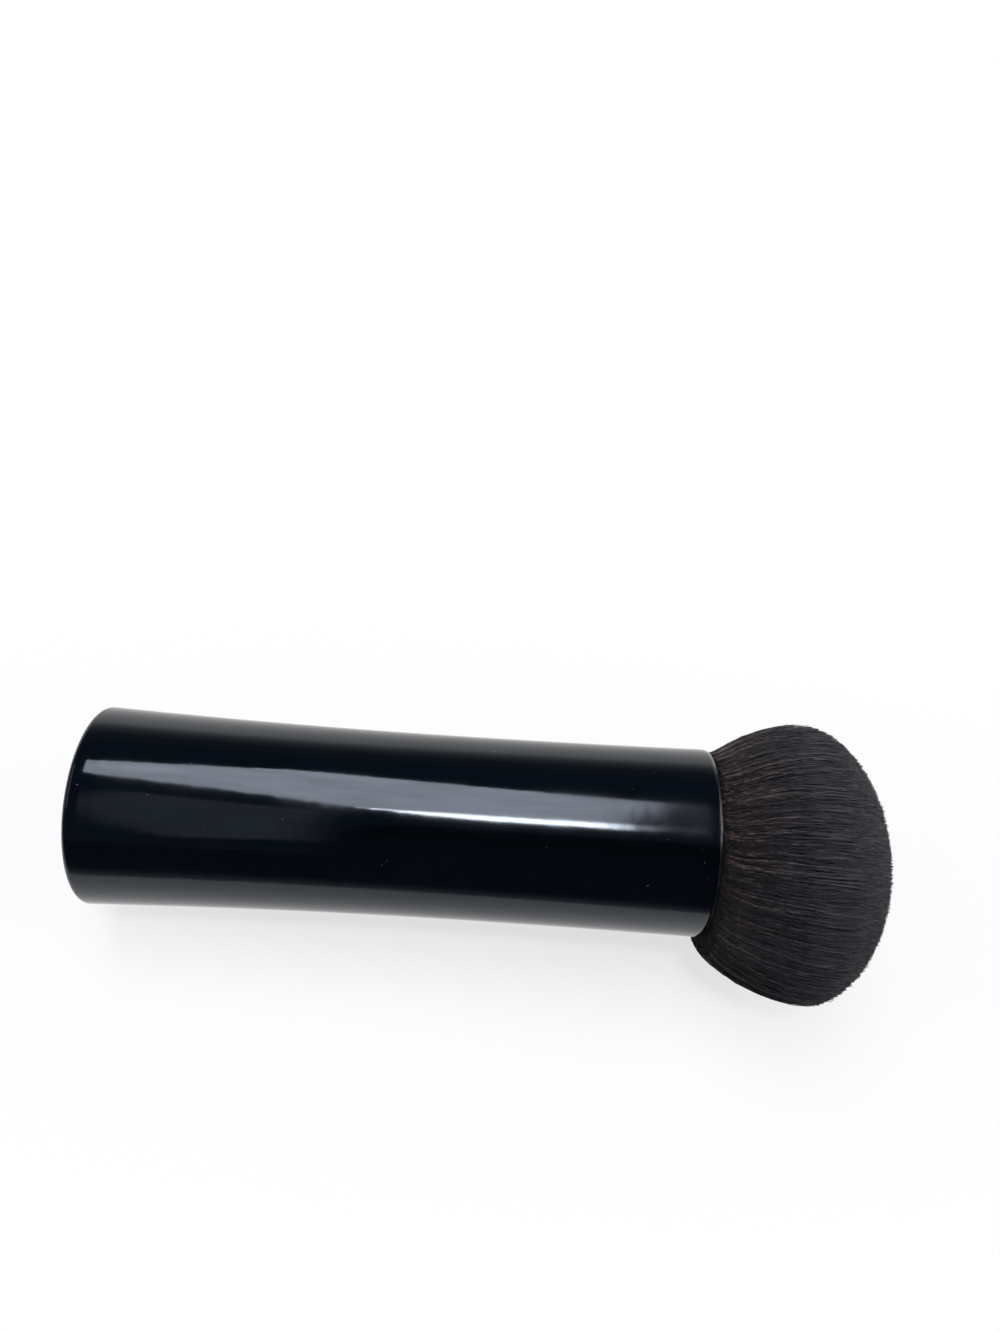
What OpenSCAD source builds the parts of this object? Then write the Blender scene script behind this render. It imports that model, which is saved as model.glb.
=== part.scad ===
// Kabuki makeup brush with a long weighted barrel, lying on its side.
// Every piece is drawn on the brush's own axis, with the base face at height 0 and the bristles up,
// and laid() then lays the whole brush down, so that the barrel's base edge and the bristles touch Z = 0.

/* [Barrel] */
// Length of the barrel from the base face to the rim of the mouth
handle_len = 97; // [85:1:115]
// Diameter of the barrel at the base
base_d = 31.4; // [30.8:0.2:36]
// Diameter of the barrel at its waist
waist_d = 29.2; // [29:0.2:30.6]
// Diameter of the barrel at the mouth
mouth_d = 30; // [29.8:0.2:32]
// Height of the waist above the base
waist_z = 55; // [40:1:65]
// Diameter of the barrel's straight bore
bore_d = 28; // [26:0.2:28]
// Rounding of the barrel's base edge
base_round = 1; // [0.4:0.1:1.2]
// Rounding of the barrel's outer edge at the mouth
mouth_round = 0.3; // [0.1:0.05:0.4]

/* [Base and weight] */
// Thickness of the base plug's disc
plug_t = 2.5; // [2:0.1:4]
// Height of the ring on the plug that carries the weight
plug_ring_h = 3.5; // [2:0.1:6]
// Wall of the ring on the plug
plug_ring_t = 2; // [1.2:0.1:3]
// Length of the steel weight
weight_len = 24; // [15:1:28]
// Chamfer on the weight's edges
weight_chamfer = 0.8; // [0.4:0.1:1.5]
// Diameter of the hole drilled through the weight
weight_hole_d = 4; // [3:0.5:6]
// Thickness of the foam pad on the weight
pad_t = 2; // [1:0.5:4]
// Wall of the carrier around the weight
carrier_wall = 2.5; // [1.8:0.1:3]
// Wall of the carrier above the weight
carrier_upper_wall = 1.6; // [1.2:0.1:2.4]
// Thickness of the web across the carrier
web_t = 2; // [1.5:0.1:3]
// Diameter of the vent hole in the web
vent_d = 4; // [3:0.5:8]

/* [Ferrule] */
// Depth of the ferrule cup below the rim of the mouth
ferrule_depth = 18; // [16:0.5:22]
// Wall of the ferrule cup
ferrule_t = 0.3; // [0.25:0.05:0.4]
// Distance of the ferrule's flange in from the barrel's outside at the mouth
flange_inset = 0.15; // [0:0.05:0.3]
// Depth of the crimp that grips the glue
crimp = 0.4; // [0.2:0.1:0.6]
// Height of the crimp above the cup's floor
crimp_z = 2.2; // [2:0.1:2.6]
// Diameter of the key hole in the cup's floor
key_d = 6; // [4:0.5:8]
// Diameter of the glue head under the cup's floor
key_head_d = 9; // [8.5:0.5:12]
// Thickness of the glue head under the cup's floor
key_head_t = 0.8; // [0.5:0.1:1.5]

/* [Knot] */
// Thickness of the glue that holds the bristle roots
glue_t = 4; // [3.5:0.1:5]
// Thickness of the backing slice that the strands stand in
backing_t = 2; // [1.5:0.1:3]
// Turns of thread that bind the roots
binding_turns = 6; // [3:1:7]
// Diameter of the binding thread
thread_d = 0.5; // [0.4:0.05:0.55]

/* [Bristle head] */
// Length of the bristles beyond the mouth
head_len = 28.3; // [25:0.1:34]
// Diameter of the head at its widest
head_d = 44.4; // [40:0.2:50]
// Height of the widest place above the mouth
widest_z = 14.5; // [13.5:0.5:17]
// Diameter of the head just above the mouth, where the bristles have splayed
splay_d = 33.8; // [32:0.2:37]
// Height above the mouth at which the bristles have splayed
splay_z = 1.6; // [1.2:0.1:3]
// Height above the mouth at which each strand is thickest
belly_z = 11; // [9:0.5:12.5]
// Exponent of the curve from the mouth to the widest place, where 2 is a parabola
flare_power = 1.7; // [1.4:0.1:2.4]
// Share of the head's radius that the longest-reaching tips stand at
tip_share = 0.995; // [0.97:0.005:0.995]
// Sideways lean of the bristles just above the mouth
lean_mouth = 2.1; // [0:0.1:2.4]
// Further sideways lean at the tip of the head
lean_tip = 0.7; // [0:0.1:2]
// Direction of the lean round the axis, where 0 is straight down and 90 is sideways
lean_dir = 78; // [0:1:180]
// Rows of strands round the middle one
rows = 10; // [10:1:11]
// How many of these rows belong to the core
core_rows = 7; // [5:1:8]
// Radius of a strand at its root
root_strand_r = 0.4; // [0.3:0.01:0.42]
// Radius of a strand at its thickest
belly_strand_r = 0.85; // [0.5:0.05:0.85]
// Radius of a strand at its tip
tip_strand_r = 0.6; // [0.2:0.05:0.6]
// Depth of the flat where the bristles rest
rest_flat = 0.5; // [0.2:0.1:0.8]

/* [Hidden] */
$fn = 96;

slide_gap = 0.08;    // radial gap between pieces that slide together
seat_gap = 0.05;     // gap between faces that are seated with adhesive
bristle_gap = 0.1;   // gap between the bristles and what they pass through
neck_rise = 0.2;     // height above the mouth at which the bristles start to splay
cut_extra = 1;       // how far a cutting tool passes the face that it cuts
profile_steps = 48;  // steps in the barrel's curved outline
round_steps = 8;     // steps in a rounded edge
strand_sides = 3;    // sides of a strand
backing_sides = 12;  // sides of the backing
row_growth = 5.5;    // a row holds about this many strands more than the row inside it
row_turn = 137.5;    // turn between one row of strands and the next
turn_share = 0.8;    // step from one turn of thread to the next, as a share of its diameter

base_r = base_d / 2;
waist_r = waist_d / 2;
mouth_r = mouth_d / 2;
bore_r = bore_d / 2;
fitted_r = bore_r - slide_gap;
carrier_bore_r = fitted_r - carrier_wall;
cup_r = fitted_r - ferrule_t;
key_r = key_d / 2;
head_r = head_d / 2;
splay_r = splay_d / 2;

// heights along the axis, from the base up
sleeve_len = handle_len - ferrule_t;
cup_z = handle_len - ferrule_depth;
crimp_mid = cup_z + ferrule_t + crimp_z;
carrier_z = plug_t + seat_gap;
weight_z = plug_t + plug_ring_h + seat_gap;
pad_z = weight_z + weight_len + seat_gap;
web_z = pad_z + pad_t + seat_gap;
carrier_top = cup_z - seat_gap;
glue_z = cup_z + ferrule_t + seat_gap;
backing_z = glue_z + glue_t + seat_gap;
root_z = backing_z + backing_t / 2;
binding_z = backing_z + backing_t + seat_gap;
neck_z = handle_len + neck_rise;

// the binding is inside the ferrule, and the bristles pass through both with a gap
thread_r = thread_d / 2;
turn_pitch = thread_d * turn_share;
binding_len = thread_d + (binding_turns - 1) * turn_pitch;
binding_r = cup_r - seat_gap - thread_d;
binding_share = (binding_z + binding_len - root_z) / (neck_z - root_z);
neck_edge = cup_r - bristle_gap;
root_edge = (binding_r - bristle_gap - binding_share * neck_edge) / (1 - binding_share);

// the backing is split half way between the core's last row and the skirt's first
core_edge = (core_rows + 0.5) * (root_edge - root_strand_r) / rows;

// the lying pose: the barrel's base edge and the flat on the bristles both touch Z = 0
rest_z = tip_z(tip_share);
rest_r = head_r * tip_share + lean(rest_z) * cos(lean_dir);
reach = handle_len + rest_z - base_round;
drop = rest_r - base_r + base_round;
lie_tilt = atan2(drop, reach)
    - asin((base_round + rest_flat) / norm([reach, drop]));
lift = (base_r - base_round) * cos(lie_tilt) + base_round * (1 - sin(lie_tilt));
centre_x = ((handle_len + head_len) * cos(lie_tilt)
    + lean(head_len) * cos(lean_dir) * sin(lie_tilt)
    - (base_r - base_round) * sin(lie_tilt)
    - base_round * (1 - cos(lie_tilt))) / 2;
centre_y = -lean(widest_z) * sin(lean_dir);

// radius of the barrel's outside at height z
function sleeve_r(z) = z < waist_z
    ? waist_r + (base_r - waist_r) * pow(1 - z / waist_z, 2)
    : waist_r + (mouth_r - waist_r) * pow((z - waist_z) / (sleeve_len - waist_z), 2);

// radius of the head at height z above the mouth, from the splay to the widest place
function flare_r(z) = head_r
    - (head_r - splay_r) * pow((widest_z - z) / (widest_z - splay_z), flare_power);

// height above the mouth of a tip that stands on the dome at a share of the head's radius
function tip_z(share) = widest_z + (head_len - widest_z) * sqrt(1 - share * share);

// sideways lean of the bristles at height z above the mouth
function lean(z) = z <= neck_rise ? 0
    : z < splay_z ? lean_mouth * (z - neck_rise) / (splay_z - neck_rise)
    : lean_mouth + lean_tip * pow((z - splay_z) / (head_len - splay_z), 2);

// points of an arc from angle a0 to angle a1, about [r, z]
function arc(r, z, radius, a0, a1) = [
    for (i = [0:round_steps])
        let (a = a0 + (a1 - a0) * i / round_steps)
        [r + radius * cos(a), z + radius * sin(a)]
];

module laid() {
    translate([-centre_x, -centre_y, lift])
        rotate([0, 90 - lie_tilt, 0])
            children();
}

module tube(r_out, r_in, z0, z1) {
    difference() {
        disc(r_out, z0, z1);
        disc(r_in, z0 - cut_extra, z1 + cut_extra);
    }
}

module disc(r, z0, z1) {
    translate([0, 0, z0])
        cylinder(r = r, h = z1 - z0);
}

module outer_sleeve() {
    low = base_round;
    high = sleeve_len - mouth_round;
    wall = [
        for (i = [0:profile_steps])
            let (z = low + (high - low) * i / profile_steps)
            [sleeve_r(z), z]
    ];
    color("#0a0d14")
        laid()
            rotate_extrude()
                polygon(concat(
                    [[bore_r, 0]],
                    arc(sleeve_r(low) - low, low, low, -90, 0),
                    wall,
                    arc(sleeve_r(high) - mouth_round, high, mouth_round, 0, 90),
                    [[bore_r, sleeve_len]]
                ));
}

module base_plug() {
    ring_r = carrier_bore_r - slide_gap;
    color("#101217")
        laid()
            union() {
                disc(fitted_r, 0, plug_t);
                tube(ring_r, ring_r - plug_ring_t, plug_t - seat_gap, plug_t + plug_ring_h);
            }
}

module balance_weight() {
    r = carrier_bore_r - slide_gap;
    c = weight_chamfer;
    color("#8d9196")
        laid()
            difference() {
                union() {
                    translate([0, 0, weight_z])
                        cylinder(r1 = r - c, r2 = r, h = c);
                    disc(r, weight_z + c, weight_z + weight_len - c);
                    translate([0, 0, weight_z + weight_len - c])
                        cylinder(r1 = r, r2 = r - c, h = c);
                }
                disc(weight_hole_d / 2, weight_z - cut_extra, weight_z + weight_len + cut_extra);
            }
}

module weight_pad() {
    color("#3a3a3c")
        laid()
            disc(carrier_bore_r - slide_gap, pad_z, pad_z + pad_t);
}

module weight_carrier() {
    color("#2a2c30")
        laid()
            difference() {
                disc(fitted_r, carrier_z, carrier_top);
                disc(carrier_bore_r, carrier_z - cut_extra, web_z);
                disc(vent_d / 2, web_z - cut_extra, web_z + web_t + cut_extra);
                disc(fitted_r - carrier_upper_wall, web_z + web_t, carrier_top + cut_extra);
            }
}

module ferrule() {
    flange_r = mouth_r - flange_inset;
    outside = [
        [fitted_r, cup_z],
        [fitted_r, crimp_mid - crimp],
        [fitted_r - crimp, crimp_mid],
        [fitted_r, crimp_mid + crimp],
        [fitted_r, sleeve_len],
        [flange_r, sleeve_len],
        [flange_r, handle_len]
    ];
    inside = [
        [cup_r, handle_len],
        [cup_r, crimp_mid + crimp],
        [cup_r - crimp, crimp_mid],
        [cup_r, crimp_mid - crimp],
        [cup_r, cup_z + ferrule_t],
        [key_r, cup_z + ferrule_t],
        [key_r, cup_z]
    ];
    color("#c9ccd0")
        laid()
            rotate_extrude()
                polygon(concat(outside, inside));
}

// the glue fills the bottom of the cup and is keyed through the hole in its floor
module knot_glue() {
    glue_r = cup_r - seat_gap;
    stem_r = key_r - seat_gap;
    head_top = cup_z - seat_gap;
    color("#b89a5a")
        laid()
            rotate_extrude()
                polygon([
                    [0, head_top - key_head_t],
                    [key_head_d / 2, head_top - key_head_t],
                    [key_head_d / 2, head_top],
                    [stem_r, head_top],
                    [stem_r, glue_z],
                    [glue_r, glue_z],
                    [glue_r, crimp_mid - crimp],
                    [glue_r - crimp, crimp_mid],
                    [glue_r, crimp_mid + crimp],
                    [glue_r, glue_z + glue_t],
                    [0, glue_z + glue_t]
                ]);
}

// the turns of thread lie side by side and are stuck together into one band
module knot_binding() {
    middle_r = binding_r + thread_r;
    color("#5b4a3a")
        laid()
            rotate_extrude()
                union() {
                    for (i = [0:binding_turns - 1])
                        translate([middle_r, binding_z + thread_r + i * turn_pitch])
                            circle(r = thread_r);
                    translate([middle_r - thread_r / 2, binding_z + thread_r])
                        square([thread_r, binding_len - thread_d]);
                }
}

// the height, offset and thickness of each ring of a strand that stands at a share of the
// bundle's radius. Its tip may stand at a smaller share, and it bends outward or runs straight.
function strand_rings(share, end_share, bends) =
    let (
        splay_strand_r = (root_strand_r + belly_strand_r) / 2,
        end = end_share * tip_share,
        root = [
            [root_z, share * (root_edge - root_strand_r), root_strand_r],
            [neck_z, share * (neck_edge - root_strand_r), root_strand_r]
        ],
        bend = [
            [handle_len + splay_z, share * (splay_r - splay_strand_r), splay_strand_r],
            [handle_len + belly_z, share * (flare_r(belly_z) - belly_strand_r), belly_strand_r]
        ],
        tip = [[handle_len + tip_z(end), end * (head_r - tip_strand_r), tip_strand_r]]
    )
    concat(root, bends ? bend : [], tip);

// one strand, from its root in the backing to its tip on the dome
module strand(rings, turn) {
    n = strand_sides;
    last = len(rings) - 1;
    points = [
        for (ring = rings)
            let (shift = lean(ring[0] - handle_len))
            for (k = [0:n - 1])
                let (a = turn + 360 * k / n)
                [
                    ring[1] * cos(turn) + ring[2] * cos(a) + shift * cos(lean_dir),
                    ring[1] * sin(turn) + ring[2] * sin(a) - shift * sin(lean_dir),
                    ring[0]
                ]
    ];
    sides = [
        for (j = [0:last - 1])
            for (k = [0:n - 1])
                let (a = j * n + k, b = j * n + (k + 1) % n)
                each [[a, a + n, b], [b, a + n, b + n]]
    ];
    root_cap = [for (k = [0:n - 1]) k];
    tip_cap = [for (k = [n - 1:-1:0]) last * n + k];
    polyhedron(points = points, faces = concat([root_cap], sides, [tip_cap]));
}

// rows of strands round the axis, every second strand reaching further up the dome
module strand_rows(first, last, bends) {
    for (row = [first:last])
        let (count = floor(row_growth * row))
        for (i = [0:count - 1])
            strand(strand_rings(row / rows, (row - (i % 2) / 2) / rows, bends),
                row * row_turn + 360 * i / count);
}

// a slice of backing made of wedges. The two radii are measured to the middles of its sides.
module backing(r_in, r_out) {
    inner = r_in / cos(180 / backing_sides);
    outer = r_out / cos(180 / backing_sides);
    for (i = [0:backing_sides - 1])
        let (a = 360 * i / backing_sides, b = 360 * (i + 1) / backing_sides)
        translate([0, 0, backing_z])
            hull()
                linear_extrude(backing_t)
                    polygon([
                        [inner * cos(a), inner * sin(a)],
                        [outer * cos(a), outer * sin(a)],
                        [outer * cos(b), outer * sin(b)],
                        [inner * cos(b), inner * sin(b)]
                    ]);
}

module below_the_floor() {
    size = 2 * (handle_len + head_len);
    translate([-size / 2, -size / 2, -size])
        cube(size);
}

module core_bristles() {
    color("#2c2625")
        laid()
            union() {
                backing(0, core_edge - bristle_gap);
                strand(strand_rings(0, 0, false), 0);
                strand_rows(1, core_rows, false);
            }
}

module skirt_bristles() {
    color("#332b29")
        difference() {
            laid()
                union() {
                    backing(core_edge, root_edge);
                    strand_rows(core_rows + 1, rows, true);
                }
            below_the_floor();
        }
}

outer_sleeve();
base_plug();
balance_weight();
weight_pad();
weight_carrier();
ferrule();
knot_glue();
knot_binding();
core_bristles();
skirt_bristles();
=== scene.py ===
from math import cos, pi, radians, sin

import bpy
import numpy as np
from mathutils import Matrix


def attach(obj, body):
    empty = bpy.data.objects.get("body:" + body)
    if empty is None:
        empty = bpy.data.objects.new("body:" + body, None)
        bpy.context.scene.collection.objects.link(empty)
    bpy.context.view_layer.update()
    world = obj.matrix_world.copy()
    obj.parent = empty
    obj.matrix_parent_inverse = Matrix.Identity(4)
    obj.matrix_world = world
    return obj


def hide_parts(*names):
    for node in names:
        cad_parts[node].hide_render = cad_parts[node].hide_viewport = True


# The looks of a kabuki makeup brush that lies on its side: a lacquered barrel, a thin metal
# lip at its mouth, and a dome of fine bristles. Its shapes are given in millimetres in the
# brush's own axes, with the base at z = 0, and to_world() turns them into the frame's metres.

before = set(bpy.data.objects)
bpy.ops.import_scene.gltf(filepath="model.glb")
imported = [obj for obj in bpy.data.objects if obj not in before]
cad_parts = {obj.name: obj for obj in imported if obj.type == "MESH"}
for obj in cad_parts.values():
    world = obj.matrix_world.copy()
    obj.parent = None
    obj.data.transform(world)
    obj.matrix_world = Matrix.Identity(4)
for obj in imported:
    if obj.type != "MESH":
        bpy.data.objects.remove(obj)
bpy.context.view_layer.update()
scene = bpy.context.scene

# Sizes, as in part.scad
HANDLE_LEN = 97
SLEEVE_LEN = 96.7         # the ferrule's lip makes up the rest
BASE_R = 15.7
WAIST_R = 14.6
WAIST_Z = 55
MOUTH_R = 15.0
BORE_R = 14.0
BASE_ROUND = 1.0
MOUTH_ROUND = 0.3

# The head's sizes. Heights are above the mouth.
HEAD_R = 22.2
HEAD_LEN = 28.3
WIDEST_Z = 14.5
SPLAY_R = 16.9            # radius of the head at SPLAY_Z, where it has splayed over the rim
SPLAY_Z = 1.6
FLARE_POWER = 1.7
TIP_SHARE = 0.995
ROOT_Z = -12.6
ROOT_EDGE = 12.76         # radius of the bundle at its roots
NECK_Z = 0.2
NECK_EDGE = 13.52         # radius of the bundle at NECK_Z, just above the mouth
LEAN_MOUTH = 2.1          # how far the head leans to one side at SPLAY_Z
LEAN_TIP = 0.7            # and how much more at its top
LEAN_DIR = radians(78)

# Where the CAD lays the brush: the centre of its base face, and the tilt of its axis
BASE_CENTRE = (-62.1471, 2.21394, 15.6195)
LIE_TILT = radians(3.25608)

MM_PER_M = 1000


def to_world(points):
    """The frame's metres of points given in the brush's own millimetres."""
    x, y, z = points[..., 0], points[..., 1], points[..., 2]
    east = z * cos(LIE_TILT) + x * sin(LIE_TILT) + BASE_CENTRE[0]
    north = y + BASE_CENTRE[1]
    up = z * sin(LIE_TILT) - x * cos(LIE_TILT) + BASE_CENTRE[2]
    return np.stack([east, north, up], axis=-1) / MM_PER_M


def make_object(name, points, faces, material):
    """A mesh object. Points are in metres."""
    mesh = bpy.data.meshes.new(name)
    mesh.from_pydata([tuple(p) for p in points], [], faces)
    mesh.materials.append(material)
    mesh.validate()
    obj = bpy.data.objects.new(name, mesh)
    scene.collection.objects.link(obj)
    return obj


def make_flat(name, points, material):
    """A mesh object of one flat face."""
    return make_object(name, points, [tuple(range(len(points)))], material)


# Short ways to add nodes to a material's or the world's node tree


def new_material(name):
    """A material, its node tree and its shader."""
    material = bpy.data.materials.new(name)
    material.use_nodes = True
    tree = material.node_tree
    return material, tree, tree.nodes["Principled BSDF"]


def stretched(tree, scale):
    """The object's own coordinates in metres, each axis multiplied by its scale."""
    place = tree.nodes.new("ShaderNodeTexCoord")
    mapping = tree.nodes.new("ShaderNodeMapping")
    mapping.inputs["Scale"].default_value = scale
    tree.links.new(place.outputs["Object"], mapping.inputs["Vector"])
    return mapping.outputs["Vector"]


def noise(tree, scale, detail, stretch=(1, 1, 1)):
    """Noise over the object. Scale is in cells a metre."""
    texture = tree.nodes.new("ShaderNodeTexNoise")
    texture.inputs["Scale"].default_value = scale
    texture.inputs["Detail"].default_value = detail
    tree.links.new(stretched(tree, stretch), texture.inputs["Vector"])
    return texture.outputs["Fac"]


def ramp(tree, source, stops):
    """A colour ramp over a value. Stops are (place, colour)."""
    node = tree.nodes.new("ShaderNodeValToRGB")
    elements = node.color_ramp.elements
    while len(elements) < len(stops):
        elements.new(0.5)
    for element, (place, colour) in zip(elements, stops):
        element.position = place
        element.color = (*colour, 1)
    tree.links.new(source, node.inputs["Fac"])
    return node.outputs["Color"]


def height_ramp(tree, coordinates, stops):
    """A colour ramp over the Z of the named texture coordinates."""
    place = tree.nodes.new("ShaderNodeTexCoord")
    parts = tree.nodes.new("ShaderNodeSeparateXYZ")
    tree.links.new(place.outputs[coordinates], parts.inputs["Vector"])
    return ramp(tree, parts.outputs["Z"], stops)


def spread(tree, source, before, after):
    """The value moved from one range, (low, high), to another, and held at its ends."""
    node = tree.nodes.new("ShaderNodeMapRange")
    node.inputs["From Min"].default_value = before[0]
    node.inputs["From Max"].default_value = before[1]
    node.inputs["To Min"].default_value = after[0]
    node.inputs["To Max"].default_value = after[1]
    tree.links.new(source, node.inputs["Value"])
    return node.outputs["Result"]


def combine(tree, operation, first, second):
    """Two values put together by a Math node."""
    node = tree.nodes.new("ShaderNodeMath")
    node.operation = operation
    tree.links.new(first, node.inputs[0])
    tree.links.new(second, node.inputs[1])
    return node.outputs["Value"]


def mix_colour(tree, factor, first, second):
    """From the first colour at 0 to the second at 1. Each is a socket or a plain colour."""
    node = tree.nodes.new("ShaderNodeMix")
    node.data_type = "RGBA"
    tree.links.new(factor, node.inputs["Factor"])
    for socket, value in ((node.inputs[6], first), (node.inputs[7], second)):
        if isinstance(value, tuple):
            socket.default_value = (*value, 1)
        else:
            tree.links.new(value, socket)
    return node.outputs[2]


def bump(tree, shader, height, depth):
    """Relief of a depth in metres on the shader's normal, on top of any that it has."""
    node = tree.nodes.new("ShaderNodeBump")
    node.inputs["Distance"].default_value = depth
    tree.links.new(height, node.inputs["Height"])
    if shader.inputs["Normal"].is_linked:
        tree.links.new(shader.inputs["Normal"].links[0].from_socket, node.inputs["Normal"])
    tree.links.new(node.outputs["Normal"], shader.inputs["Normal"])


# Noise seldom leaves the middle of its range from 0 to 1, so ramps over it span this part.
NOISE_LOW = 0.3
NOISE_HIGH = 0.7
NOISE_RANGE = (NOISE_LOW, NOISE_HIGH)


def noise_ramp(tree, source, dark, light):
    """From a dark to a light colour over a noise."""
    return ramp(tree, source, [(NOISE_LOW, dark), (NOISE_HIGH, light)])


def lacquer_material():
    """Blue-black gloss lacquer with faint smudges, a soft waviness and a few specks of dust."""
    material, tree, shader = new_material("black_lacquer")
    smudge = noise(tree, 70, 5)
    colour = noise_ramp(tree, smudge, (0.0006, 0.0011, 0.0019), (0.0010, 0.0016, 0.0027))
    dust = spread(tree, noise(tree, 1500, 1), (0.79, 0.82), (0, 1))
    dusty = mix_colour(tree, dust, colour, (0.06, 0.065, 0.07))
    tree.links.new(dusty, shader.inputs["Base Color"])
    roughness = spread(tree, smudge, (0.35, 0.75), (0.05, 0.15))
    tree.links.new(roughness, shader.inputs["Roughness"])
    shader.inputs["IOR"].default_value = 1.45
    shader.inputs["Specular Tint"].default_value = (0.78, 0.87, 1.0, 1)
    for scale, detail, depth in ((30, 1, 0.00006), (160, 2, 0.00003), (900, 2, 0.0000006)):
        bump(tree, shader, noise(tree, scale, detail), depth)
    return material


def lip_material():
    """Rolled aluminium with fine lines round it."""
    material, tree, shader = new_material("ferrule_metal")
    lines = noise(tree, 4000, 2, (1, 0.1, 0.1))
    colour = noise_ramp(tree, lines, (0.18, 0.185, 0.19), (0.28, 0.285, 0.29))
    tree.links.new(colour, shader.inputs["Base Color"])
    roughness = spread(tree, lines, NOISE_RANGE, (0.12, 0.22))
    tree.links.new(roughness, shader.inputs["Roughness"])
    shader.inputs["Metallic"].default_value = 1
    return material


def grained_material(name, dark, light, rough_range, scale, metallic=0.0):
    """A finish with a fine grain in its colour, roughness and relief."""
    material, tree, shader = new_material(name)
    grain = noise(tree, scale, 3)
    tree.links.new(noise_ramp(tree, grain, dark, light), shader.inputs["Base Color"])
    tree.links.new(spread(tree, grain, NOISE_RANGE, rough_range), shader.inputs["Roughness"])
    shader.inputs["Metallic"].default_value = metallic
    bump(tree, shader, grain, 0.00003)
    return material


def strand_value(tree, name):
    """A value that the points of the strands carry."""
    node = tree.nodes.new("ShaderNodeAttribute")
    node.attribute_name = name
    return node.outputs["Fac"]


def bristle_material():
    """Dark hair. It is brown-black with pale brown strands by the mouth, cooler and paler at
    its tips, and dullest in the bend over the rim, where painted shade makes it darkest."""
    material, tree, shader = new_material("bristle")
    along = strand_value(tree, "along")
    streaks = spread(tree, noise(tree, 2400, 2, (0.2, 1, 1)), NOISE_RANGE, (-0.28, 0.28))
    # The tone attribute also holds painted light: the uppermost side is paler.
    shade = combine(tree, "ADD", streaks, strand_value(tree, "tone"))
    # Painted shade: darker colours for the hair in the bend over the rim, in place of the shade of
    # the rim and the hair above it.
    painted_shade_in_the_bend = ramp(tree, shade, [
        (0.1, (0.003, 0.0025, 0.003)),
        (0.55, (0.006, 0.005, 0.006)),
        (0.85, (0.030, 0.023, 0.020)),
        (1.0, (0.090, 0.068, 0.054)),
    ])
    by_the_mouth = ramp(tree, shade, [
        (0.1, (0.008, 0.0065, 0.008)),
        (0.55, (0.025, 0.020, 0.022)),
        (0.85, (0.070, 0.055, 0.050)),
        (1.0, (0.170, 0.128, 0.102)),
    ])
    middle = ramp(tree, shade, [
        (0.1, (0.015, 0.014, 0.0175)),
        (0.6, (0.034, 0.031, 0.038)),
        (1.0, (0.080, 0.068, 0.070)),
    ])
    tips = ramp(tree, shade, [
        (0.1, (0.056, 0.052, 0.057)),
        (0.6, (0.090, 0.083, 0.089)),
        (1.0, (0.140, 0.128, 0.130)),
    ])
    colour = mix_colour(tree, spread(tree, along, (0.1, 0.6), (1, 0)), middle, by_the_mouth)
    # Painted shade in the bend over the rim, just above the mouth.
    colour = mix_colour(tree, spread(tree, along, (0.004, 0.022), (1, 0)), colour, painted_shade_in_the_bend)
    colour = mix_colour(tree, spread(tree, along, (0.6, 1), (0, 1)), colour, tips)
    tree.links.new(colour, shader.inputs["Base Color"])
    roughness = spread(tree, along, (0.01, 0.05), (1.0, 0.45))
    tree.links.new(roughness, shader.inputs["Roughness"])
    shader.inputs["Specular IOR Level"].default_value = 0.17
    return material


LACQUER = lacquer_material()
BRISTLE = bristle_material()

# The barrel
ROUND_STEPS = 10
WALL_STEPS = 64
BARREL_TURNS = 256
SHARP_ANGLE = radians(40)


def sleeve_r(z):
    """Radius of the barrel's outside, which has a soft waist."""
    if z < WAIST_Z:
        return WAIST_R + (BASE_R - WAIST_R) * (1 - z / WAIST_Z) ** 2
    return WAIST_R + (MOUTH_R - WAIST_R) * ((z - WAIST_Z) / (SLEEVE_LEN - WAIST_Z)) ** 2


def arc(r, z, radius, start, end):
    """Points [radius, height] of a rounded edge about a centre."""
    angles = np.linspace(start, end, ROUND_STEPS)
    return [(r + radius * cos(a), z + radius * sin(a)) for a in angles]


def barrel_outline():
    """Half of the barrel's section, from the bore at the base round to the bore at the mouth."""
    low = BASE_ROUND
    high = SLEEVE_LEN - MOUTH_ROUND
    base = arc(sleeve_r(low) - low, low, low, -pi / 2, 0)
    wall = [(sleeve_r(z), z) for z in np.linspace(low, high, WALL_STEPS)[1:-1]]
    mouth = arc(sleeve_r(high) - MOUTH_ROUND, high, MOUTH_ROUND, 0, pi / 2)
    return [(BORE_R, 0)] + base + wall + mouth + [(BORE_R, SLEEVE_LEN)]


def lathe(name, outline, material):
    """A closed ring: an outline of points [radius, height] turned about the brush's axis."""
    outline = np.array(outline, float)
    rows = len(outline)
    angle = 2 * pi * np.arange(BARREL_TURNS) / BARREL_TURNS
    points = np.zeros((BARREL_TURNS, rows, 3))
    points[..., 0] = np.cos(angle)[:, None] * outline[:, 0]
    points[..., 1] = np.sin(angle)[:, None] * outline[:, 0]
    points[..., 2] = outline[:, 1]
    faces = []
    for i in range(BARREL_TURNS):
        here = i * rows
        beside = (i + 1) % BARREL_TURNS * rows
        for j in range(rows):
            k = (j + 1) % rows
            faces.append((here + j, beside + j, beside + k, here + k))
    obj = make_object(name, to_world(points).reshape(-1, 3), faces, material)
    obj.data.shade_smooth()
    obj.data.set_sharp_from_angle(angle=SHARP_ANGLE)
    return obj


barrel = lathe("lacquered_barrel", barrel_outline(), LACQUER)
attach(barrel, "root")
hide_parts("outer_sleeve")

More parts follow.
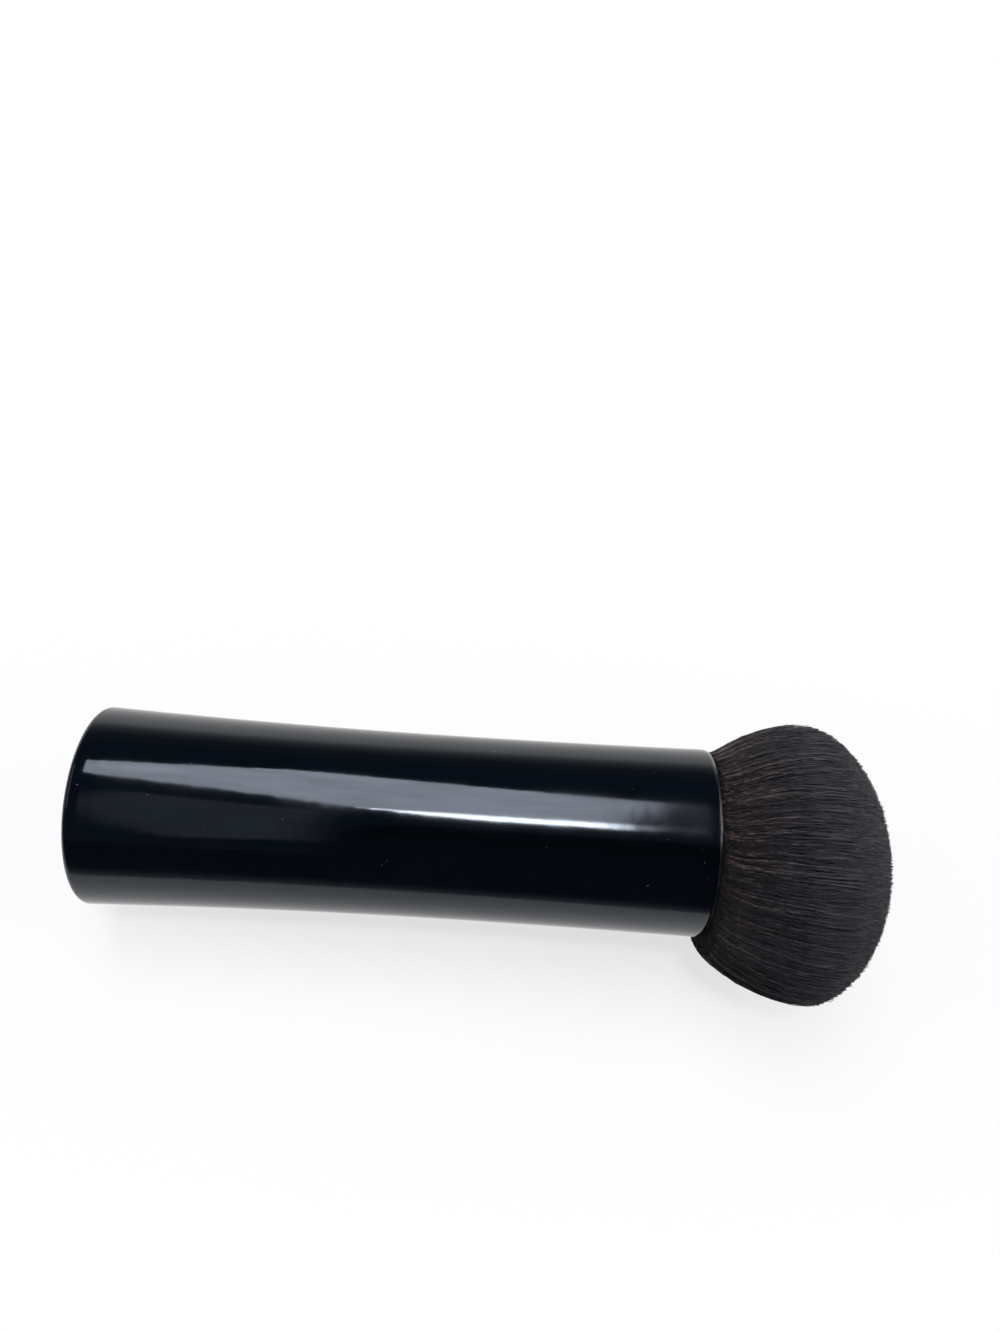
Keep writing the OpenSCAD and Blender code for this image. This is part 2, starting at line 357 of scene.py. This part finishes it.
# The bristles
STRAND_SIDES = 3
LOW_RINGS = [ROOT_Z, NECK_Z]
BEND_Z = 0.25             # the lowest height at which a strand has bent over the rim
BEND_SPREAD = 1.0         # how unlike in height the bends are
LEAN_BEND = 1.5           # how far the strands lean where they leave the mouth
RING_POWER = 1.2          # above 1, a strand's rings stand closer together near its bend
LENGTH_SPREAD = 0.15      # how unlike in length the strands are
TIP_INWARD = 0.05         # how far a strand's tip may lie inward, as a share of its radius
EDGE_INSET = 0.12         # keeps the strands inside the CAD's head
FRIZZ = 0.25              # how far a strand strays by its tip
WAVE = 0.16               # how far a strand waves on its way
IN_AND_OUT = 0.6          # share of the straying and the waves that goes in and out
LEAST_R = 3               # strands nearer to the axis swing no further round it than here
LOCKS = 240               # clumps of strands round the head
LOCK_PULL = 0.25          # how far a clump draws its strands together
FLOOR_GAP = 0.05          # strands that reach the floor lie along it, this far above
WIDTH_LEAST = 0.75        # thickness of the thinnest strands, as a share of the usual one
WIDTH_SPREAD = 0.5        # how much thicker the thickest are
TIP_TAPER = 0.4           # how much thinner a strand is at its tip

TONE_LOCKS = 3 * LOCKS    # clumps of strands that share part of their tone
TONE_SEED = 5
TONE_POWER = 1.4          # above 1, more strands are dark than pale
OWN_SHARE = 0.7           # share of a strand's tone that is its own
LOCK_SHARE = 0.3          # share that its clump gives it
TOP_LIGHT_PAINT = 0.13              # painted light: how much paler the hairs are painted on the side that lies uppermost, as if lit from above
TOP_LIGHT_TURN = radians(120)  # where that side is


def flare_r(z):
    """Radius of the head's outside from the mouth up to its widest place."""
    short = np.maximum((WIDEST_Z - z) / (WIDEST_Z - SPLAY_Z), 0)
    return HEAD_R - (HEAD_R - SPLAY_R) * short ** FLARE_POWER


def envelope(z):
    """Radius of the bundle at a height above the mouth. It stays at its widest above WIDEST_Z."""
    low = np.interp(z, [ROOT_Z, NECK_Z], [ROOT_EDGE, NECK_EDGE])
    return np.where(z <= NECK_Z, low, flare_r(z))


def lean(z):
    """How far the bundle leans to one side at a height above the mouth."""
    low = np.where(z <= NECK_Z, 0, np.interp(z, [NECK_Z, SPLAY_Z], [LEAN_BEND, LEAN_MOUTH]))
    rise = np.maximum(z - SPLAY_Z, 0) / (HEAD_LEN - SPLAY_Z)
    return low + LEAN_TIP * rise ** 2


def strand_lines(rng, count, inner, outer, steps):
    """The middle line of each strand, standing between two shares of the bundle's radius.
    With it comes how far along its strand each point is, from 0 at the mouth to 1 at the tip."""
    share = np.sqrt(rng.uniform(inner ** 2, outer ** 2, count))
    turn = rng.uniform(0, 2 * pi, count)
    lock_turn = np.round(turn * LOCKS / (2 * pi)) * (2 * pi) / LOCKS
    tip_share = share * (1 - TIP_INWARD * rng.random(count))
    tip = WIDEST_Z + (HEAD_LEN - WIDEST_Z) * np.sqrt(1 - (tip_share * TIP_SHARE) ** 2)
    tip += LENGTH_SPREAD * rng.normal(0, 1, count)

    bend = BEND_Z + BEND_SPREAD * rng.random((count, 1))
    above = bend + (tip[:, None] - bend) * np.linspace(0, 1, steps) ** RING_POWER
    below = np.broadcast_to(LOW_RINGS, (count, len(LOW_RINGS)))
    z = np.concatenate([below, above], axis=1)
    along = np.clip(z / tip[:, None], 0, 1)

    here = share[:, None] + (tip_share - share)[:, None] * along
    stray = FRIZZ * along ** 2
    wave = np.sin(pi * along) * rng.normal(0, WAVE, (2,) + z.shape)
    stray_out = stray * rng.normal(0, IN_AND_OUT, (count, 1))
    radius = here * envelope(z) - EDGE_INSET + stray_out + IN_AND_OUT * wave[0]
    pull = LOCK_PULL * np.sin(pi * along) * rng.random((count, 1))
    stray_round = stray * rng.normal(0, 1.0, (count, 1))
    angle = turn[:, None] + (lock_turn - turn)[:, None] * pull
    angle = angle + (stray_round + wave[1]) / np.maximum(radius, LEAST_R)

    x = radius * np.cos(angle) + lean(z) * cos(LEAN_DIR)
    y = radius * np.sin(angle) - lean(z) * sin(LEAN_DIR)
    return np.stack([x, y, z + HANDLE_LEN], axis=-1), along


def strand_tones_and_top_light(rng, count, turn):
    """From 0 to 1, how pale each strand is. Neighbours share part of it, and the strands on the
    uppermost side get painted light that makes them paler.
    """
    lock = np.floor(turn * TONE_LOCKS / (2 * pi)).astype(int) % TONE_LOCKS
    lock_tone = np.random.default_rng(TONE_SEED).random(TONE_LOCKS)[lock]
    own_tone = rng.random(count) ** TONE_POWER
    # Painted light: paler strands on the side that lies uppermost, where the light falls.
    painted_top_light = TOP_LIGHT_PAINT * np.cos(turn - TOP_LIGHT_TURN)
    return np.clip(OWN_SHARE * own_tone + LOCK_SHARE * lock_tone + painted_top_light, 0, 1)


def strand_points(rng, lines, along, thick):
    """Three-sided rings about the middle lines, in the frame's metres and above the floor."""
    count, rings = along.shape
    taper = 1 - TIP_TAPER * along ** 3
    width = thick * (WIDTH_LEAST + WIDTH_SPREAD * rng.random((count, 1))) * taper
    phase = rng.uniform(0, 2 * pi, count)
    points = np.zeros((count, rings, STRAND_SIDES, 3))
    for k in range(STRAND_SIDES):
        a = phase[:, None] + 2 * pi * k / STRAND_SIDES
        points[:, :, k, 0] = lines[..., 0] + width * np.cos(a)
        points[:, :, k, 1] = lines[..., 1] + width * np.sin(a)
        points[:, :, k, 2] = lines[..., 2]
    world = to_world(points)
    floor_z = (FLOOR_GAP + thick * rng.random((count, 1, 1))) / MM_PER_M
    world[..., 2] += np.maximum(floor_z - world[..., 2].min(axis=2, keepdims=True), 0)
    return world


def strand_faces(count, rings):
    """The four-sided faces round all the strands, and the caps on their two ends."""
    first = np.arange(count)[:, None, None] * rings * STRAND_SIDES
    ring = np.arange(rings - 1)[None, :, None] * STRAND_SIDES
    side = np.arange(STRAND_SIDES)[None, None, :]
    a = first + ring + side
    b = first + ring + (side + 1) % STRAND_SIDES
    quads = np.stack([a, b, b + STRAND_SIDES, a + STRAND_SIDES], axis=-1).reshape(-1, 4)
    base = first[:, :, 0]
    low_caps = base + np.array([2, 1, 0])
    high_caps = base + (rings - 1) * STRAND_SIDES + np.array([0, 1, 2])
    return quads, np.concatenate([low_caps, high_caps])


def strand_mesh(name, points, quads, caps):
    """A smooth-shaded mesh, filled in one go because it has many thousands of faces."""
    mesh = bpy.data.meshes.new(name)
    mesh.vertices.add(points.size // 3)
    mesh.vertices.foreach_set("co", points.reshape(-1).astype(np.float32))
    corners = np.concatenate([quads.reshape(-1), caps.reshape(-1)]).astype(np.int32)
    mesh.loops.add(len(corners))
    mesh.loops.foreach_set("vertex_index", corners)
    quad_starts = np.arange(len(quads)) * 4
    cap_starts = len(quads) * 4 + np.arange(len(caps)) * 3
    starts = np.concatenate([quad_starts, cap_starts])
    mesh.polygons.add(len(starts))
    mesh.polygons.foreach_set("loop_start", starts.astype(np.int32))
    mesh.update(calc_edges=True)
    mesh.shade_smooth()
    return mesh


def bristle_piece(name, node, seed, count, inner, outer, steps, thick):
    """One mesh of thin, tapered strands with closed ends."""
    rng = np.random.default_rng(seed)
    lines, along = strand_lines(rng, count, inner, outer, steps)
    rings = lines.shape[1]
    turn_at_tip = np.arctan2(lines[:, -1, 1], lines[:, -1, 0]) % (2 * pi)
    # The tones carry painted light: the strands on the uppermost side are paler.
    tones_and_top_light = strand_tones_and_top_light(rng, count, turn_at_tip)
    points = strand_points(rng, lines, along, thick)
    mesh = strand_mesh(name, points, *strand_faces(count, rings))

    per_ring = np.repeat(along.reshape(-1), STRAND_SIDES).astype(np.float32)
    per_strand = np.repeat(tones_and_top_light, rings * STRAND_SIDES).astype(np.float32)
    for label, values in (("along", per_ring), ("tone", per_strand)):
        mesh.attributes.new(label, "FLOAT", "POINT").data.foreach_set("value", values)
    mesh.materials.append(BRISTLE)
    obj = bpy.data.objects.new(name, mesh)
    scene.collection.objects.link(obj)
    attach(obj, "root")
    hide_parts(node)


CORE_EDGE = 0.72          # share of the radius at which the core ends and the skirt begins
VEIL_EDGE = 0.93          # share of the radius from which the outermost, finest hairs stand

# Name, CAD node, first seed, number of pieces, strands in each, inner and outer share of the
# radius, rings above the mouth, and half the usual thickness of a strand
HAIR = [
    ("core_hair", "core_bristles", 11, 2, 8500, 0, CORE_EDGE, 2, 0.075),
    ("skirt_hair", "skirt_bristles", 21, 2, 4500, CORE_EDGE, VEIL_EDGE, 4, 0.08),
    ("veil_hair", "skirt_bristles", 31, 3, 3000, VEIL_EDGE, 1, 8, 0.07),
]
for hair, node, seed, pieces, count, inner, outer, steps, thick in HAIR:
    for number in range(pieces):
        bristle_piece(f"{hair}_{number + 1}", node, seed + number, count, inner, outer, steps, thick)

# The CAD pieces that stay. For a grained finish: its name, its dark and light colours, its
# range of roughness, the cells of its grain in a metre, and 1 for metal.
STAYING = {
    "ferrule": lip_material(),
    "base_plug": grained_material(
        "black_plastic", (0.010, 0.011, 0.014), (0.018, 0.020, 0.025), (0.32, 0.48), 2200),
    "balance_weight": grained_material(
        "weight_steel", (0.36, 0.37, 0.38), (0.52, 0.53, 0.54), (0.29, 0.41), 900, 1),
    "weight_pad": grained_material(
        "foam", (0.05, 0.05, 0.055), (0.10, 0.10, 0.105), (0.79, 0.91), 1600),
    "weight_carrier": grained_material(
        "carrier_plastic", (0.04, 0.04, 0.045), (0.06, 0.06, 0.066), (0.54, 0.66), 1200),
    "knot_glue": grained_material(
        "epoxy", (0.42, 0.31, 0.14), (0.60, 0.46, 0.23), (0.24, 0.36), 500),
    "knot_binding": grained_material(
        "thread", (0.10, 0.07, 0.05), (0.20, 0.14, 0.10), (0.74, 0.86), 2600),
}
for node, material in STAYING.items():
    for mesh_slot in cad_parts[node].material_slots:
        mesh_slot.link = "OBJECT"
        mesh_slot.material = material

# Light. The barrel mirrors the cards, so their outlines shape its bright band, its streak and
# its faint patch. Outlines and heights are in millimetres.
CARD_HEIGHT = 1000
EDGE_HEIGHT = CARD_HEIGHT - 4  # just below the window, which it overlaps
BOX_HEIGHT = 1300
CARD_DARKEST = 0.78       # shares of a card's strength between which it is uneven
CARD_LIGHTEST = 1.12


def emitter(name, outline, height, strength, colour=(1, 1, 1)):
    """A flat glowing card, a little uneven, that the camera doesn't see."""
    material, tree, shader = new_material(name)
    tree.nodes.remove(shader)
    glow = tree.nodes.new("ShaderNodeEmission")
    patches = noise(tree, 22, 3, (1, 0.25, 1))
    darker = tuple(CARD_DARKEST * c for c in colour)
    lighter = tuple(CARD_LIGHTEST * c for c in colour)
    tree.links.new(noise_ramp(tree, patches, darker, lighter), glow.inputs["Color"])
    glow.inputs["Strength"].default_value = strength
    tree.links.new(glow.outputs["Emission"], tree.nodes["Material Output"].inputs["Surface"])
    corners = [(x / MM_PER_M, y / MM_PER_M, height / MM_PER_M) for x, y in outline]
    card = make_flat(name, corners, material)
    card.visible_camera = False


emitter("window", [(-445, 250), (-465, 540), (-266, 735), (130, 425), (75, -140), (-160, -125),
                   (-320, 130)], CARD_HEIGHT, 7.3, (0.98, 0.98, 1.03))
emitter("window_edge", [(-160, -102), (82, -102), (78, -206), (-80, -190)], EDGE_HEIGHT, 52)
emitter("window_side", [(130, 425), (260, 400), (230, -140), (75, -140)], CARD_HEIGHT, 0.2)
emitter("far_wall", [(-449, -351), (-383, -70), (-203, -239), (-278, -1100), (-500, -1400)],
        CARD_HEIGHT, 0.55, (0.85, 0.97, 1.0))
emitter("left_softbox", [(-1900, -700), (-1900, 700), (-1000, 700), (-1000, -700)],
        BOX_HEIGHT, 1.3)
emitter("right_softbox", [(1000, -700), (1000, 700), (1900, 700), (1900, -700)],
        BOX_HEIGHT, 2.6)

# Where the cloth meets the floor, in metres, and how far it slopes back for each metre up
CLOTH_Y = -0.072
CLOTH_SLOPE = 0.35


def dark_cloth():
    """The photographer's dark clothes, behind the camera and outside its view. They show only
    in the barrel's gloss, with a gap on the left that leaves the faint patch there."""
    material, tree, shader = new_material("dark_cloth")
    shade = height_ramp(tree, "Object", [
        (0.0, (0.75, 0.76, 0.77)),
        (0.004, (0.28, 0.30, 0.32)),
        (0.014, (0.045, 0.070, 0.095)),
        (0.25, (0.004, 0.006, 0.009)),
    ])
    tree.links.new(shade, shader.inputs["Base Color"])
    shader.inputs["Roughness"].default_value = 1
    shader.inputs["Specular IOR Level"].default_value = 0
    outline = [(-0.6, 0), (0.6, 0), (0.6, 1), (-0.15, 1), (-0.04, 0.065), (-0.6, 0.065)]
    corners = [(x, CLOTH_Y - CLOTH_SLOPE * z, z) for x, z in outline]
    cloth = make_flat("dark_cloth", corners, material)
    cloth.visible_camera = False
    cloth.visible_diffuse = False
    cloth.visible_shadow = False


dark_cloth()

# The floor. The camera, gloss and glass see it glow white, and near the brush only in part, so
# that the shadow shows.
FLOOR_HALF = 4
GLOW_NEAR = 0.7           # share of glow under the brush
GLOW_FAR = 1
FADE = (0.014, 0.06)      # metres from the brush's middle between which the share rises
FADE_STRETCH = (0.3, 1, 1)  # the brush is long, so distances along it count for less


def floor_material():
    """Pale matt floor that keeps a soft shadow. What looks at it or mirrors it sees it white."""
    material, tree, shader = new_material("pale_floor")
    colour = noise_ramp(tree, noise(tree, 400, 3), (0.84, 0.84, 0.84), (0.86, 0.86, 0.86))
    tree.links.new(colour, shader.inputs["Base Color"])
    shader.inputs["Roughness"].default_value = 0.9
    shader.inputs["Specular IOR Level"].default_value = 0.1
    glow = tree.nodes.new("ShaderNodeEmission")
    glow.inputs["Color"].default_value = (1, 1, 1, 1)
    glow.inputs["Strength"].default_value = 1

    rays = tree.nodes.new("ShaderNodeLightPath").outputs
    seen = combine(tree, "MAXIMUM", rays["Is Camera Ray"], rays["Is Glossy Ray"])
    seen = combine(tree, "MAXIMUM", seen, rays["Is Transmission Ray"])
    distance = tree.nodes.new("ShaderNodeVectorMath")
    distance.operation = "LENGTH"
    tree.links.new(stretched(tree, FADE_STRETCH), distance.inputs[0])
    share = spread(tree, distance.outputs["Value"], FADE, (GLOW_NEAR, GLOW_FAR))
    both = tree.nodes.new("ShaderNodeMixShader")
    tree.links.new(combine(tree, "MULTIPLY", seen, share), both.inputs["Fac"])
    tree.links.new(shader.outputs["BSDF"], both.inputs[1])
    tree.links.new(glow.outputs["Emission"], both.inputs[2])
    tree.links.new(both.outputs["Shader"], tree.nodes["Material Output"].inputs["Surface"])
    return material


floor_corners = [(-FLOOR_HALF, -FLOOR_HALF, 0), (FLOOR_HALF, -FLOOR_HALF, 0),
                 (FLOOR_HALF, FLOOR_HALF, 0), (-FLOOR_HALF, FLOOR_HALF, 0)]
floor = make_flat("floor", floor_corners, floor_material())


def studio_world():
    """Pale at the horizon, and dark blue-grey overhead."""
    world = bpy.data.worlds.new("studio")
    world.use_nodes = True
    tree = world.node_tree
    colour = height_ramp(tree, "Generated", [
        (0.0, (0.95, 0.95, 0.95)),
        (0.08, (0.60, 0.60, 0.61)),
        (0.18, (0.28, 0.29, 0.31)),
        (0.34, (0.09, 0.11, 0.14)),
        (0.6, (0.05, 0.085, 0.135)),
    ])
    background = tree.nodes["Background"]
    tree.links.new(colour, background.inputs["Color"])
    background.inputs["Strength"].default_value = 1
    return world


scene.world = studio_world()

# The camera, as fitted to the outline of the brush in the photo
camera_data = bpy.data.cameras.new("photo_camera")
camera_data.lens = 27.0068
camera_data.sensor_width = 36
camera_data.clip_start = 0.01
camera = bpy.data.objects.new("photo_camera", camera_data)
camera.location = (-0.0107190, -0.0559483, 0.1720918)
camera.rotation_euler = (radians(29.74362), radians(-5.88500), radians(2.86000))
scene.collection.objects.link(camera)
scene.camera = camera
scene.view_settings.view_transform = "Standard"
